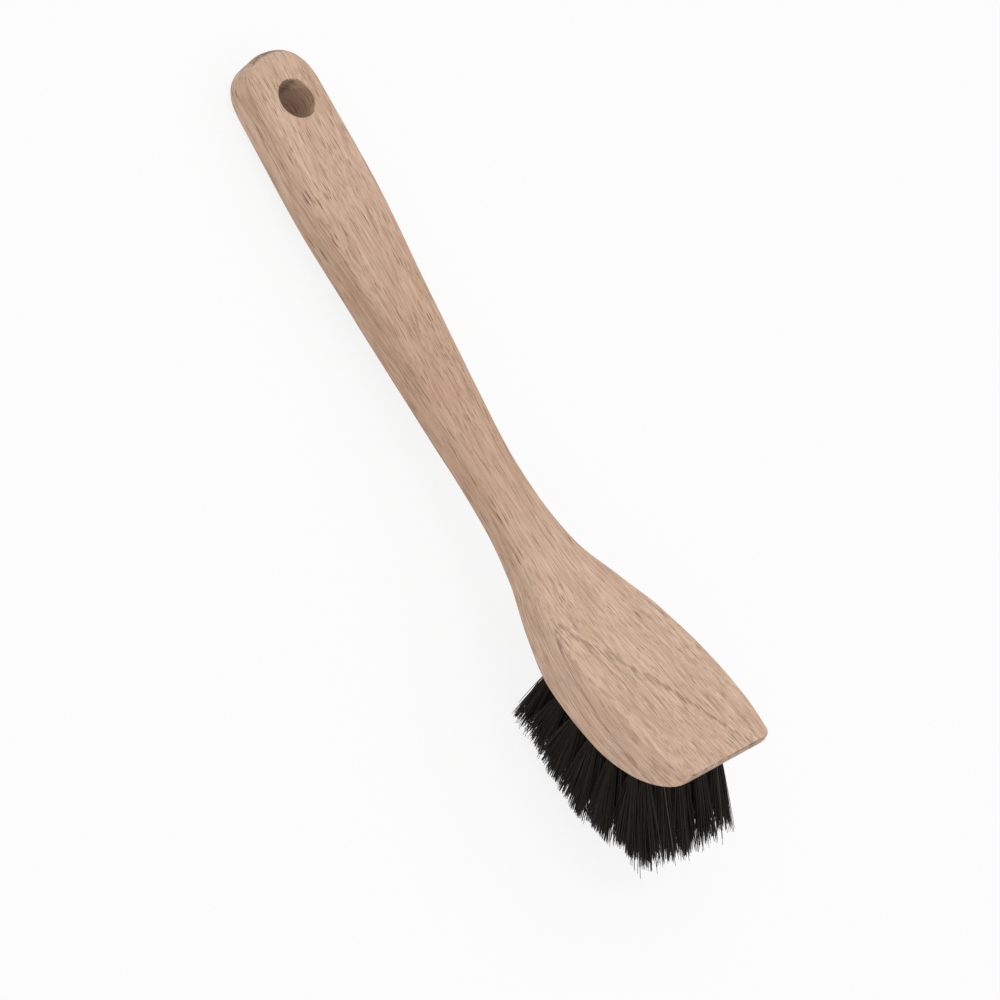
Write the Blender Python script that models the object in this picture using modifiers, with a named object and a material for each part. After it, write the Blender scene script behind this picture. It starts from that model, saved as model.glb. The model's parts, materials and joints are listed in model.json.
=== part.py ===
"""Dish brush: a bent beech handle whose flared end is the head, with staple-set tufts of dark horsehair.

Everything is laid out in the head's own frame, X from the handle towards the toe, Z up, with the flat top of
the head at Z = 0. Places along the brush are measured along its top line from the hanging end. One empty
then tips the whole brush back onto its hanging end and its rearmost bristles, the way it lies on a table.
"""

import math

import bmesh
import bpy
import numpy as np
from mathutils import Matrix, Vector

# Lengths along the top line, in metres
HANDLE_LENGTH = 0.136          # hanging end to the narrowest place of the neck
HEAD_LENGTH = 0.1103           # narrowest place of the neck to the toe
END_ROUND = 0.0147             # length over which the hanging end rounds off in plan
END_SQUARENESS = 2.4           # 2 is an ellipse, more is squarer
TOE_CORNER = 0.0032            # radius of the toe's two corners in plan
TOE_SWEEP = 0.0284             # length over which the underside curves up to the toe
BEND_START = 0.120             # where the straight handle begins to bend down
BEND_LENGTH = 0.088            # the bend's length, up to the level head
HANDLE_PITCH = math.radians(20.7)

# Widths and thicknesses
HANDLE_WIDTH = 0.0266
NECK_WIDTH = 0.0171
HEAD_WIDTH = 0.0430
TOE_WIDTH = 0.0337             # between the lines that the two corners round off
HANDLE_THICKNESS = 0.0152
NECK_THICKNESS = 0.0107
HEAD_THICKNESS = 0.0173
TOE_THICKNESS = 0.0022

# Edge radii: the handle is soft in the hand, the head's edges are crisper
HANDLE_TOP_RADIUS = 0.0037
HANDLE_BOTTOM_RADIUS = 0.0040
HEAD_TOP_RADIUS = 0.0025
HEAD_BOTTOM_RADIUS = 0.0020
TOE_TOP_RADIUS = 0.0006
TOE_BOTTOM_RADIUS = 0.0008

# Outline in shares: place along the handle or head, and share of the way from the neck's size up
HANDLE_PLACE_SHARES = (0, 0.133, 0.333, 0.593, 0.853, 1)
HANDLE_WIDTH_SHARES = (0.79, 0.90, 1, 0.58, 0.175, 0)
HEAD_PLACE_SHARES = (0.138, 0.277, 0.415, 0.553, 0.731)
HEAD_WIDTH_SHARES = (0.043, 0.183, 0.574, 0.885, 1)
TOE_PLACE_SHARES = (0.87, 1)
TOE_WIDTH_SHARES = (0.716, 0)
GRIP_DEPTH_PLACE_SHARES = (0, 0.30, 0.60, 0.89)
GRIP_DEPTH_SHARES = (1, 0.85, 0.74, 0.42)
HEAD_DEPTH_PLACE_SHARES = (0.138, 0.366, 0.593, 0.731)
HEAD_DEPTH_SHARES = (0, 0.486, 0.977, 1)
SWEEP_SHARE = 0.995            # of the quarter ellipse that the underside follows up to the toe

# Hanging hole
HANGING_HOLE_DIAMETER = 0.0120
HANGING_HOLE_PLACE = 0.0168

# Tufts: bundles of hair folded over a flat wire and driven into blind holes
TUFT_HOLE_DIAMETER = 0.0048
TUFT_HOLE_DEPTH = 0.0085
FIT_GAP = 0.0003               # room between a bundle, its wire and the wood
TUFT_EDGE_INSET = 0.0060       # the outer holes' centres from the head's edge
TUFT_ROW_PITCH = 0.0073        # from row to row along the head
TUFT_CROSS_PITCH = 0.0070      # least spacing within a row
LAST_ROW_FROM_TOE = 0.0161
TUFT_ROWS = 6
HEEL_LEAN = math.radians(0)    # forward lean of the first row
TOE_LEAN = math.radians(32)    # and of the last
LEAN_POWER = 1.3
SIDE_SPLAY = math.radians(3)   # sideways lean of the outer tufts
HEEL_BRISTLE_LENGTH = 0.0205   # from the head's underside to the trimmed tips, at the first row
TOE_BRISTLE_LENGTH = 0.0298    # and at the last
BUNDLE_STANDS_OUT = 0.0005     # the bound part of a bundle above its hole's mouth
TUFT_CLEARANCE = 0.0008        # least room between two tufts, at their tips
STRAND_WIDTH = 0.0008
STRAND_TIP_WIDTH = 0.0004
TIP_UNEVENNESS = 0.0009
RESTING_TRIM = 0.0005          # cut flat where the bristles stand on the table

# Flat wire that holds each bundle
ANCHOR_BITE = 0.0007           # each end in the wood beyond the hole's wall
ANCHOR_THICKNESS = 0.0005
ANCHOR_HEIGHT = 0.0018
FOLD_THICKNESS = 0.0010        # hair under the wire
ANCHOR_TURN = math.radians(45)  # across the grain, so that the wires don't split the wood

CUT_OVERRUN = 0.002

# Counts and other plain values
PATH_STEPS = 600
END_STEPS = 7
SIDE_STEPS = 36
CORNER_STEPS = 5
TOE_STEPS = 2
EDGE_STEPS = 4
TUFT_SIDES = 10
HOLE_SIDES = 12
HANGING_HOLE_SIDES = 32
BISECTIONS = 40
INNER_CELL_SHARE = 0.46        # radius of a tuft's inner strands' cells
MID_SHARE = 0.45               # where a strand has reached its own width
SHARP_EDGE = math.radians(35)
SEED = 11
MERGE = 0.00001                # closer vertices than this are one

LENGTH = HANDLE_LENGTH + HEAD_LENGTH
SWEEP_START = LENGTH - TOE_SWEEP
LAST_ROW = LENGTH - LAST_ROW_FROM_TOE
BUNDLE_RADIUS = TUFT_HOLE_DIAMETER / 2 - FIT_GAP
BUNDLE_BOTTOM = TUFT_HOLE_DEPTH - FIT_GAP
ANCHOR_BOTTOM = BUNDLE_BOTTOM - FOLD_THICKNESS - FIT_GAP
ANCHOR_LENGTH = TUFT_HOLE_DIAMETER + 2 * ANCHOR_BITE
ROW_FAN = TOE_LEAN * (1 / (TUFT_ROWS - 1)) ** LEAN_POWER
CROSS_FAN = 2 * SIDE_SPLAY * TUFT_CROSS_PITCH / HEAD_WIDTH
TIP_FAN = HEEL_BRISTLE_LENGTH * math.tan(min(ROW_FAN, CROSS_FAN))
TIP_PITCH = min(TUFT_CROSS_PITCH, TUFT_ROW_PITCH) + TIP_FAN
TUFT_SPREAD_DIAMETER = TIP_PITCH - TUFT_CLEARANCE


def smooth_curve(places, values, at):
    """Cubic through the points that never overshoots between two of them."""
    x, y = np.array(places, float), np.array(values, float)
    step = np.diff(x)
    slope = np.diff(y) / step
    tangent = np.concatenate([slope[:1], np.zeros(len(x) - 2), slope[-1:]])
    same_way = slope[:-1] * slope[1:] > 0
    mean = 2 * slope[:-1] * slope[1:] / np.where(same_way, slope[:-1] + slope[1:], 1)
    tangent[1:-1] = np.where(same_way, mean, 0)
    i = np.clip(np.searchsorted(x, at) - 1, 0, len(step) - 1)
    u = (np.clip(at, x[0], x[-1]) - x[i]) / step[i]
    start, end = (1 + 2 * u) * (1 - u) ** 2, u * u * (3 - 2 * u)
    rise, fall = u * (1 - u) ** 2, u * u * (u - 1)
    return start * y[i] + end * y[i + 1] + step[i] * (rise * tangent[i] + fall * tangent[i + 1])


def table(*parts):
    """Joins (place shares, stretch start, stretch length, value shares, low, high) into places and values."""
    places, values = [], []
    for place_shares, start, length, value_shares, low, high in parts:
        places += [start + share * length for share in place_shares]
        values += [low + share * (high - low) for share in value_shares]
    return places, values


WIDTH_TABLE = table(
    (HANDLE_PLACE_SHARES, 0, HANDLE_LENGTH, HANDLE_WIDTH_SHARES, NECK_WIDTH, HANDLE_WIDTH),
    (HEAD_PLACE_SHARES, HANDLE_LENGTH, HEAD_LENGTH, HEAD_WIDTH_SHARES, NECK_WIDTH, HEAD_WIDTH),
    (TOE_PLACE_SHARES, HANDLE_LENGTH, HEAD_LENGTH, TOE_WIDTH_SHARES, TOE_WIDTH, HEAD_WIDTH),
)
THICKNESS_TABLE = table(
    (GRIP_DEPTH_PLACE_SHARES, 0, HANDLE_LENGTH, GRIP_DEPTH_SHARES, NECK_THICKNESS, HANDLE_THICKNESS),
    (HEAD_DEPTH_PLACE_SHARES, HANDLE_LENGTH, HEAD_LENGTH, HEAD_DEPTH_SHARES, NECK_THICKNESS, HEAD_THICKNESS),
)


def half_width(place):
    """Half the width in plan, before the hanging end and the toe's corners are rounded."""
    return smooth_curve(*WIDTH_TABLE, place) / 2


def thickness(place):
    """Depth of the wood below the top line; the last stretch is nearly a quarter ellipse up to the toe."""
    body = smooth_curve(*THICKNESS_TABLE, np.minimum(place, SWEEP_START))
    swept = SWEEP_SHARE * np.clip((place - SWEEP_START) / TOE_SWEEP, 0, 1)
    left = math.sqrt(1 - SWEEP_SHARE**2)
    return TOE_THICKNESS + (body - TOE_THICKNESS) * (np.sqrt(1 - swept**2) - left) / (1 - left)


def pitch(place):
    """Slope of the top line: the handle's pitch, eased to nought along the bend."""
    u = np.clip((place - BEND_START) / BEND_LENGTH, 0, 1)
    return HANDLE_PITCH * (1 - u * u * (3 - 2 * u))


def top_line():
    """Places, X, Z and pitch of the top line, with the toe's end of it at X = 0, Z = 0."""
    places = np.linspace(0, LENGTH, PATH_STEPS)
    slope = pitch(places)
    step = np.diff(places)
    middle = (slope[1:] + slope[:-1]) / 2
    x = np.concatenate([[0], np.cumsum(np.cos(middle) * step)])
    z = np.concatenate([[0], np.cumsum(-np.sin(middle) * step)])
    return places, x - x[-1], z - z[-1], slope


TOP_LINE = top_line()


def in_space(place, across, depth):
    """Points at a place along the top line, a distance across it and a depth below it."""
    places, line_x, line_z, line_slope = TOP_LINE
    slope = np.interp(place, places, line_slope)
    x = np.interp(place, places, line_x) - np.sin(slope) * depth
    z = np.interp(place, places, line_z) - np.cos(slope) * depth
    return np.stack([x, across + 0 * x, z], axis=-1)


def edge_radius(place, handle, head, toe):
    """An edge's radius: the handle's, then the head's, then the toe's."""
    knots = (BEND_START, BEND_START + BEND_LENGTH, SWEEP_START, LENGTH)
    return np.interp(place, knots, (handle, head, head, toe))


def half_outline():
    """Plan outline of one side, from the middle of the hanging end to the middle of the toe."""
    a = np.linspace(0, math.pi / 2, END_STEPS + 1)
    end_place = END_ROUND * (1 - np.cos(a) ** (2 / END_SQUARENESS))
    end_across = half_width(END_ROUND) * np.sin(a) ** (2 / END_SQUARENESS)
    before = LENGTH - TOE_CORNER
    taper = math.atan2(half_width(before - TOE_CORNER) - half_width(before), TOE_CORNER)
    corner_start = before + TOE_CORNER * math.sin(taper)
    corner_middle = half_width(corner_start) - TOE_CORNER * math.cos(taper)
    side_place = np.linspace(END_ROUND, corner_start, SIDE_STEPS + 1)[1:-1]
    b = np.linspace(taper, math.pi / 2, CORNER_STEPS + 1)
    corner_place = before + TOE_CORNER * np.sin(b)
    corner_across = corner_middle + TOE_CORNER * np.cos(b)
    toe_across = np.linspace(corner_middle, 0, TOE_STEPS + 1)[1:]
    place = np.concatenate([end_place, side_place, corner_place, np.full(TOE_STEPS, LENGTH)])
    across = np.concatenate([end_across, half_width(side_place), corner_across, toe_across])
    across[0] = 0
    return place, across


def handle_grid():
    """Rows follow the outline; each runs from the top's middle, round the edge, to the bottom's middle."""
    place, across = half_outline()
    out = np.stack([np.gradient(across), -np.gradient(place)], axis=1)
    out[0], out[-1] = (1, 0), (-1, 0)
    out /= -np.linalg.norm(out, axis=1)[:, None]
    top = edge_radius(place, HANDLE_TOP_RADIUS, HEAD_TOP_RADIUS, TOE_TOP_RADIUS)
    bottom = edge_radius(place, HANDLE_BOTTOM_RADIUS, HEAD_BOTTOM_RADIUS, TOE_BOTTOM_RADIUS)
    turns = np.linspace(0, math.pi / 2, EDGE_STEPS + 1)
    columns = [(top * (1 - math.sin(a)), top * (1 - math.cos(a)), False) for a in turns]
    columns += [(bottom * (1 - math.cos(a)), bottom * (1 - math.sin(a)), True) for a in turns]
    columns = [(*columns[0], 0)] + [(*column, 1) for column in columns] + [(*columns[-1], 0)]
    grid = []
    for inward, depth, from_below, spread in columns:
        s = place - out[:, 0] * inward
        y = np.maximum(across - out[:, 1] * inward, 0) * spread
        y[0] = y[-1] = 0
        grid.append(in_space(s, y, thickness(s) - depth if from_below else depth))
    return np.stack(grid, axis=1)


def principled(name, colour, roughness, metallic=0.0):
    """A plain material with the part's colour, roughness and metallic value."""
    material = bpy.data.materials.new(name)
    material.use_nodes = True
    shader = material.node_tree.nodes["Principled BSDF"]
    shader.inputs["Base Color"].default_value = (*colour, 1)
    shader.inputs["Roughness"].default_value = roughness
    shader.inputs["Metallic"].default_value = metallic
    return material


def add_object(name, mesh, collection, parent, material=None):
    """Links a mesh as one named object of the brush."""
    found = bpy.data.objects.new(name, mesh)
    collection.objects.link(found)
    found.parent = parent
    if material:
        mesh.materials.append(material)
    return found


def mesh_from(bm, name):
    """Ends a bmesh as a mesh with its round faces shaded smooth."""
    mesh = bpy.data.meshes.new(name)
    bm.to_mesh(mesh)
    bm.free()
    mesh.shade_smooth()
    mesh.set_sharp_from_angle(angle=SHARP_EDGE)
    return mesh


def add_cutter(name, mesh, collection, parent):
    """A cutter is drawn as a wire and left out of renders."""
    cutter = add_object(name, mesh, collection, parent)
    cutter.hide_render = True
    cutter.display_type = "WIRE"
    return cutter


def cut(target, cutter):
    """Takes the cutter's shape out of the target."""
    boolean = target.modifiers.new(cutter.name, "BOOLEAN")
    boolean.operation = "DIFFERENCE"
    boolean.solver = "EXACT"
    boolean.object = cutter


def handle_mesh(grid):
    """Half of the wood, open at the plane of symmetry."""
    rows, columns = grid.shape[:2]
    bm = bmesh.new()
    verts = [[bm.verts.new(point) for point in row] for row in grid]
    for i in range(rows - 1):
        for k in range(columns - 1):
            bm.faces.new((verts[i][k], verts[i + 1][k], verts[i + 1][k + 1], verts[i][k + 1]))
    bmesh.ops.remove_doubles(bm, verts=bm.verts, dist=MERGE)
    return mesh_from(bm, "handle")


def tuft_frame(place, across):
    """A tuft's own frame: origin at its hole's mouth, Z along the hair away from the wood."""
    share = (place - first_row()) / (LAST_ROW - first_row())
    lean = HEEL_LEAN + (TOE_LEAN - HEEL_LEAN) * max(share, 0) ** LEAN_POWER
    splay = SIDE_SPLAY * across / (half_width(place) - TUFT_EDGE_INSET)
    along = Vector((math.tan(lean), math.tan(splay), -1)).normalized()
    ahead = Vector((1, 0, 0))
    side = along.cross(ahead).normalized()
    ahead = side.cross(along)
    turned = Matrix((ahead, side, along)).transposed().to_4x4()
    mouth = in_space(place, across, thickness(place))
    return Matrix.Translation(Vector(mouth)) @ turned


def first_row():
    """Place of the row of tufts nearest the handle."""
    return LAST_ROW - (TUFT_ROWS - 1) * TUFT_ROW_PITCH


def tuft_frames():
    """Rows across the head, with as many tufts in a row as its width takes."""
    frames = []
    for row in range(TUFT_ROWS):
        place = first_row() + row * TUFT_ROW_PITCH
        reach = half_width(place) - TUFT_EDGE_INSET
        count = 1 + int(2 * reach / TUFT_CROSS_PITCH)
        frames += [tuft_frame(place, across) for across in np.linspace(-reach, reach, count)]
    return frames


def hanging_hole_mesh():
    """Round cutter through the handle near its end."""
    bm = bmesh.new()
    depth = HANDLE_THICKNESS + 2 * CUT_OVERRUN
    turn = Matrix.Rotation(HANDLE_PITCH, 4, "Y")
    middle = in_space(HANGING_HOLE_PLACE, 0, HANDLE_THICKNESS / 2)
    radius = HANGING_HOLE_DIAMETER / 2
    bmesh.ops.create_cone(
        bm, cap_ends=True, segments=HANGING_HOLE_SIDES, radius1=radius, radius2=radius, depth=depth,
        matrix=Matrix.Translation(Vector(middle)) @ turn,
    )
    return mesh_from(bm, "hanging_hole_cutter")


def tuft_holes_mesh(frames):
    """All blind holes as one cutter."""
    bm = bmesh.new()
    radius, depth = TUFT_HOLE_DIAMETER / 2, TUFT_HOLE_DEPTH + CUT_OVERRUN
    for frame in frames:
        middle = Matrix.Translation((0, 0, CUT_OVERRUN - depth / 2))
        bmesh.ops.create_cone(
            bm, cap_ends=True, segments=HOLE_SIDES, radius1=radius, radius2=radius, depth=depth,
            matrix=frame @ middle,
        )
    return mesh_from(bm, "tuft_holes_cutter")


def anchor_box(bm, frame, length, extra):
    """A flat wire's box in its tuft's frame, grown by extra in thickness and height."""
    middle = Matrix.Translation((0, 0, ANCHOR_HEIGHT / 2 - ANCHOR_BOTTOM))
    size = (length, ANCHOR_THICKNESS + 2 * extra, ANCHOR_HEIGHT + 2 * extra, 1)
    turn = Matrix.Rotation(ANCHOR_TURN, 4, "Z")
    bmesh.ops.create_cube(bm, size=1, matrix=frame @ middle @ turn @ Matrix.Diagonal(size))


def anchor_slots_mesh(frames):
    """The slots that the wires' ends sit in, as one cutter."""
    bm = bmesh.new()
    for frame in frames:
        anchor_box(bm, frame, ANCHOR_LENGTH + 2 * FIT_GAP, FIT_GAP)
    return mesh_from(bm, "anchor_slots_cutter")


def bundle_mesh(collection, parent):
    """The bound foot of a tuft: a round plug with a window for its wire."""
    bm = bmesh.new()
    depth = BUNDLE_BOTTOM + BUNDLE_STANDS_OUT
    bmesh.ops.create_cone(
        bm, cap_ends=True, segments=TUFT_SIDES, radius1=BUNDLE_RADIUS, radius2=BUNDLE_RADIUS, depth=depth,
        matrix=Matrix.Translation((0, 0, BUNDLE_STANDS_OUT - depth / 2)),
    )
    plug = add_object("bundle_foot", mesh_from(bm, "bundle_foot"), collection, parent)
    window = bmesh.new()
    anchor_box(window, Matrix.Identity(4), ANCHOR_LENGTH + CUT_OVERRUN, FIT_GAP)
    cutter = add_cutter("bundle_window", mesh_from(window, "bundle_window"), collection, parent)
    cut(plug, cutter)
    found = bpy.data.meshes.new_from_object(plug.evaluated_get(bpy.context.evaluated_depsgraph_get()))
    bpy.data.objects.remove(plug)
    bpy.data.objects.remove(cutter)
    return found


def strand_cells(bm):
    """Divides the foot's top into an outer ring of cells and an inner ring of kites, one for each strand."""
    top = max(bm.faces, key=lambda face: face.calc_center_median().z)
    ring = bmesh.ops.inset_individual(bm, faces=[top], thickness=BUNDLE_RADIUS * (1 - INNER_CELL_SHARE))
    poked = bmesh.ops.poke(bm, faces=[top])
    middle = poked["verts"][0]
    spokes = sorted(middle.link_edges, key=lambda edge: angle_of(edge.other_vert(middle).co))
    kites = bmesh.ops.dissolve_edges(bm, edges=spokes[::2])["region"]
    return [face for face in ring["faces"] if face.is_valid] + [face for face in kites if face.is_valid]


def angle_of(point):
    """Angle of a point round the tuft's axis."""
    return math.atan2(point.y, point.x)


def move_ring(face, centre, width):
    """Draws a strand's end face to its new centre and width."""
    old = face.calc_center_median()
    radius = sum((vert.co - old).length for vert in face.verts) / len(face.verts)
    for vert in face.verts:
        spoke = (vert.co - old) * (width / 2 / radius)
        spoke.z = 0
        vert.co = centre + spoke


def tuft_mesh(name, foot, frame, rng):
    """One tuft: its foot and its strands, which fan out evenly and are longer nearer the toe."""
    bm = bmesh.new()
    bm.from_mesh(foot)
    spread = TUFT_SPREAD_DIAMETER / 2 / BUNDLE_RADIUS
    heel, toe = (in_space(place, 0, 0)[0] for place in (first_row(), LAST_ROW))
    cells = strand_cells(bm)
    for cell in cells:
        root = cell.calc_center_median()
        share = ((frame @ root).x - heel) / (toe - heel)
        length = HEEL_BRISTLE_LENGTH + (TOE_BRISTLE_LENGTH - HEEL_BRISTLE_LENGTH) * share
        heading = Vector((root.x * (spread - 1), root.y * (spread - 1), length))
        tip = root + heading.normalized() * (length + rng.uniform(-1, 1) * TIP_UNEVENNESS)
        stops = [(tip, STRAND_TIP_WIDTH)]
        if root.xy.length > BUNDLE_RADIUS * INNER_CELL_SHARE:
            stops.insert(0, (root.lerp(tip, MID_SHARE), STRAND_WIDTH))
        face = cell
        for centre, width in stops:
            face = bmesh.ops.extrude_discrete_faces(bm, faces=[face])["faces"][0]
            move_ring(face, centre, width)
    bmesh.ops.transform(bm, matrix=frame, verts=bm.verts)
    return mesh_from(bm, name)


def tipped(points, angle):
    """Points of the head's frame turned about Y, the hanging end down for a negative angle."""
    c, s = math.cos(angle), math.sin(angle)
    return points @ np.array([[c, 0, -s], [0, 1, 0], [s, 0, c]])


def points_of(mesh):
    """A mesh's vertices as rows."""
    points = np.empty(3 * len(mesh.vertices))
    mesh.vertices.foreach_get("co", points)
    return points.reshape(-1, 3)


def resting_angle(wood, hair):
    """The tip back at which the hanging end and the rearmost bristles touch the table together."""
    level, upright = 0.0, -math.pi / 2
    for _ in range(BISECTIONS):
        middle = (level + upright) / 2
        wood_low, hair_low = tipped(wood, middle)[:, 2].min(), tipped(hair, middle)[:, 2].min()
        if wood_low > hair_low + RESTING_TRIM:
            level = middle
        else:
            upright = middle
    return (level + upright) / 2


def trim_on_table(mesh, frame, angle, floor):
    """Cuts the strands that reach the table flat, along the tuft's own direction."""
    along = tipped(np.array(frame.col[2][:3])[None], angle)[0]
    points = points_of(mesh)
    below = np.maximum(floor - tipped(points, angle)[:, 2], 0)
    points += np.outer(below / along[2], np.array(frame.col[2][:3]))
    mesh.vertices.foreach_set("co", points.ravel())


def main():
    """Builds the brush."""
    for old in list(bpy.data.objects):
        bpy.data.objects.remove(old)
    brush = bpy.data.collections.new("dish_brush")
    cutters = bpy.data.collections.new("cutters")
    for collection in (brush, cutters):
        bpy.context.scene.collection.children.link(collection)
    cutters.hide_render = True
    resting = bpy.data.objects.new("resting_pose", None)
    brush.objects.link(resting)

    wood = principled("beech", (0.515, 0.357, 0.262), 0.62)
    hair = principled("horsehair", (0.016, 0.012, 0.009), 0.55)
    wire = principled("anchor_wire", (0.72, 0.55, 0.30), 0.35, 1.0)

    frames = tuft_frames()
    grid = handle_grid()
    handle = add_object("handle", handle_mesh(grid), brush, resting, wood)
    mirror = handle.modifiers.new("other_side", "MIRROR")
    mirror.use_axis = (False, True, False)
    mirror.merge_threshold = MERGE
    cut(handle, add_cutter("hanging_hole", hanging_hole_mesh(), cutters, resting))
    cut(handle, add_cutter("tuft_holes", tuft_holes_mesh(frames), cutters, resting))
    cut(handle, add_cutter("anchor_slots", anchor_slots_mesh(frames), cutters, resting))

    rng = np.random.default_rng(SEED)
    foot = bundle_mesh(cutters, resting)
    tufts = [tuft_mesh(f"tuft_{i + 1:02d}", foot, frame, rng) for i, frame in enumerate(frames)]
    wood_points = np.concatenate([grid.reshape(-1, 3), grid.reshape(-1, 3) * (1, -1, 1)])
    angle = resting_angle(wood_points, np.concatenate([points_of(mesh) for mesh in tufts]))
    floor = tipped(wood_points, angle)[:, 2].min()
    for i, (frame, mesh) in enumerate(zip(frames, tufts)):
        trim_on_table(mesh, frame, angle, floor)
        add_object(mesh.name, mesh, brush, resting, hair)
        bm = bmesh.new()
        anchor_box(bm, frame, ANCHOR_LENGTH, 0)
        add_object(f"anchor_{i + 1:02d}", mesh_from(bm, f"anchor_{i + 1:02d}"), brush, resting, wire)

    everything = tipped(np.concatenate([wood_points] + [points_of(mesh) for mesh in tufts]), angle)
    middle = (everything.min(axis=0) + everything.max(axis=0)) / 2
    resting.rotation_euler = (0, angle, 0)
    resting.location = (-middle[0], -middle[1], -floor)
    bpy.context.view_layer.update()


main()
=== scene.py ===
"""Dish brush, dressed: bare sanded beech, folded bundles of dark horsehair and the wires that hold them.

Lengths are in metres. The shape is worked out in the head's own frame, X towards the toe, Z up, with the flat
top of the head at Z = 0, and in places along the brush's top line, measured from the hanging end. The frame's
head_top mount says how the head's frame lies in the world, where the brush rests on the table at Z = 0.
"""

import json
import math

import bmesh
import bpy
import numpy as np
from mathutils import Matrix


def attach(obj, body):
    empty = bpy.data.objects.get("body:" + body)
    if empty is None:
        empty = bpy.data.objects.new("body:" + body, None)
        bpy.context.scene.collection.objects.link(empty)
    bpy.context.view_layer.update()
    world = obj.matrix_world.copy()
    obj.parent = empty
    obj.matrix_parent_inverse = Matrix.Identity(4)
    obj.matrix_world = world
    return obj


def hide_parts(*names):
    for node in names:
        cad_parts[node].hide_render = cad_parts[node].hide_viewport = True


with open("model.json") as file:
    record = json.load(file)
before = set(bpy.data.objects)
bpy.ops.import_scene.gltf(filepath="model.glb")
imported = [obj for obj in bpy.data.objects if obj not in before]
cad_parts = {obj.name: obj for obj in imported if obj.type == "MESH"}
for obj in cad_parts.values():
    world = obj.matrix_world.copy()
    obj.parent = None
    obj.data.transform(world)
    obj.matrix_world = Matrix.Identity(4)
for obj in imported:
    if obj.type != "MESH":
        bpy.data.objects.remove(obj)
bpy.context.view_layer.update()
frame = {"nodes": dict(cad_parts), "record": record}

# The brush's sizes, as in the part's source
HANDLE_LENGTH = 0.136
HEAD_LENGTH = 0.1103
END_ROUND = 0.0147
END_SQUARENESS = 2.4
TOE_CORNER = 0.0032
TOE_SWEEP = 0.0284
BEND_START = 0.120
BEND_LENGTH = 0.088
HANDLE_PITCH = math.radians(20.7)
HANDLE_WIDTH = 0.0266
NECK_WIDTH = 0.0171
HEAD_WIDTH = 0.0430
TOE_WIDTH = 0.0337
HANDLE_THICKNESS = 0.0152
NECK_THICKNESS = 0.0107
HEAD_THICKNESS = 0.0173
TOE_THICKNESS = 0.0022
TOP_RADII = (0.0037, 0.0025, 0.0025, 0.0006)      # at the grip, head's start, sweep's start and toe
BOTTOM_RADII = (0.0040, 0.0020, 0.0020, 0.0008)
WIDTH_PLACE_SHARES = (0, 0.133, 0.333, 0.593, 0.853, 1)
WIDTH_SHARES = (0.79, 0.90, 1, 0.58, 0.175, 0)
HEAD_PLACE_SHARES = (0.138, 0.277, 0.415, 0.553, 0.731)
HEAD_WIDTH_SHARES = (0.043, 0.183, 0.574, 0.885, 1)
TOE_PLACE_SHARES = (0.87, 1)
TOE_WIDTH_SHARES = (0.716, 0)
GRIP_DEPTH_PLACE_SHARES = (0, 0.30, 0.60, 0.89)
GRIP_DEPTH_SHARES = (1, 0.85, 0.74, 0.42)
HEAD_DEPTH_PLACE_SHARES = (0.138, 0.366, 0.593, 0.731)
HEAD_DEPTH_SHARES = (0, 0.486, 0.977, 1)
SWEEP_SHARE = 0.995            # of the quarter ellipse that the underside follows up to the toe
HOLE_RADIUS = 0.0060
HOLE_PLACE = 0.0168
HEAD_TOP_PLACE = 0.226         # where the head_top mount lies on the top line

# Tufts, as in the part's source
TUFT_HOLE_RADIUS = 0.0024
TUFT_HOLE_DEPTH = 0.0085
FIT_GAP = 0.0003
TUFT_EDGE_INSET = 0.0060
TUFT_ROW_PITCH = 0.0073
TUFT_CROSS_PITCH = 0.0070
LAST_ROW_FROM_TOE = 0.0161
TUFT_ROWS = 6
TOE_LEAN = math.radians(32)
LEAN_POWER = 1.3
SIDE_SPLAY = math.radians(3)
ANCHOR_THICKNESS = 0.0005
ANCHOR_HEIGHT = 0.0018
ANCHOR_BITE = 0.0007
ANCHOR_TURN = math.radians(45)
FOLD_THICKNESS = 0.0010

# Hair
TIP_PLACES = (0.193, 0.203, 0.213, 0.223, 0.234, 0.246, 0.250)
TIP_DEPTHS = (0.0366, 0.0386, 0.0407, 0.0413, 0.0409, 0.0402, 0.0420)
NEAR_CORNER = 0.0018           # by which the hair is worn shorter at the toe's near corner
NEAR_WEAR = 0.0004             # and all along the near side
HAIR_PAIRS = 300               # folded hairs in one tuft
HAIR_RADIUS = 0.000115
HAIR_TIP_RADIUS = 0.000075
ROW_SPREAD = 0.72              # half a tuft's tips along the head, as a share of the rows' spacing there
CROSS_SPREAD = 0.0055          # half a tuft's tips across the head
FIRST_ROW_SHARE = 0.3          # of that spread that the first row keeps towards the heel
LAST_ROW_SHARE = 0.42          # and the last row towards the toe
FLARE = 0.80                   # below 1, a tuft opens more near the wood
LOCKS = 9                      # clumps at a tuft's tips
LOCK_PULL = 0.28               # at most, as a share of a tip's way to its lock
TIP_STRAY = 0.0010             # by which a tip then strays
LOCK_RAGGED = 0.0009           # by which locks differ in length
HAIR_RAGGED = 0.0007           # by which a hair is shorter than its lock
KINK = 0.0006                  # by which a hair bends off its way
ROOT_SHARE = 0.96              # of the bundle's radius that the hairs' middles fill
WIRE_CLEARANCE = 0.0002        # between the wire and the nearest hair's middle
FREE_ACROSS = 0.0195           # up to here a tip is free, and past it drawn in to stay within the margin
FREE_MARGIN = 0.0028
CORNER_FROM = -0.008           # where the toe's corner sets in, along the head
HEEL_CORNER = 0.0026           # wear at the near corner of the heel
HEEL_CORNER_FROM = -0.050      # where that corner sets in
CORNER_OVER = 0.004            # length over which either corner's wear grows
TRIM_PASSES = 4                # rounds of fitting a hair's length to the trimmed surface
SEED = 4

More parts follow.
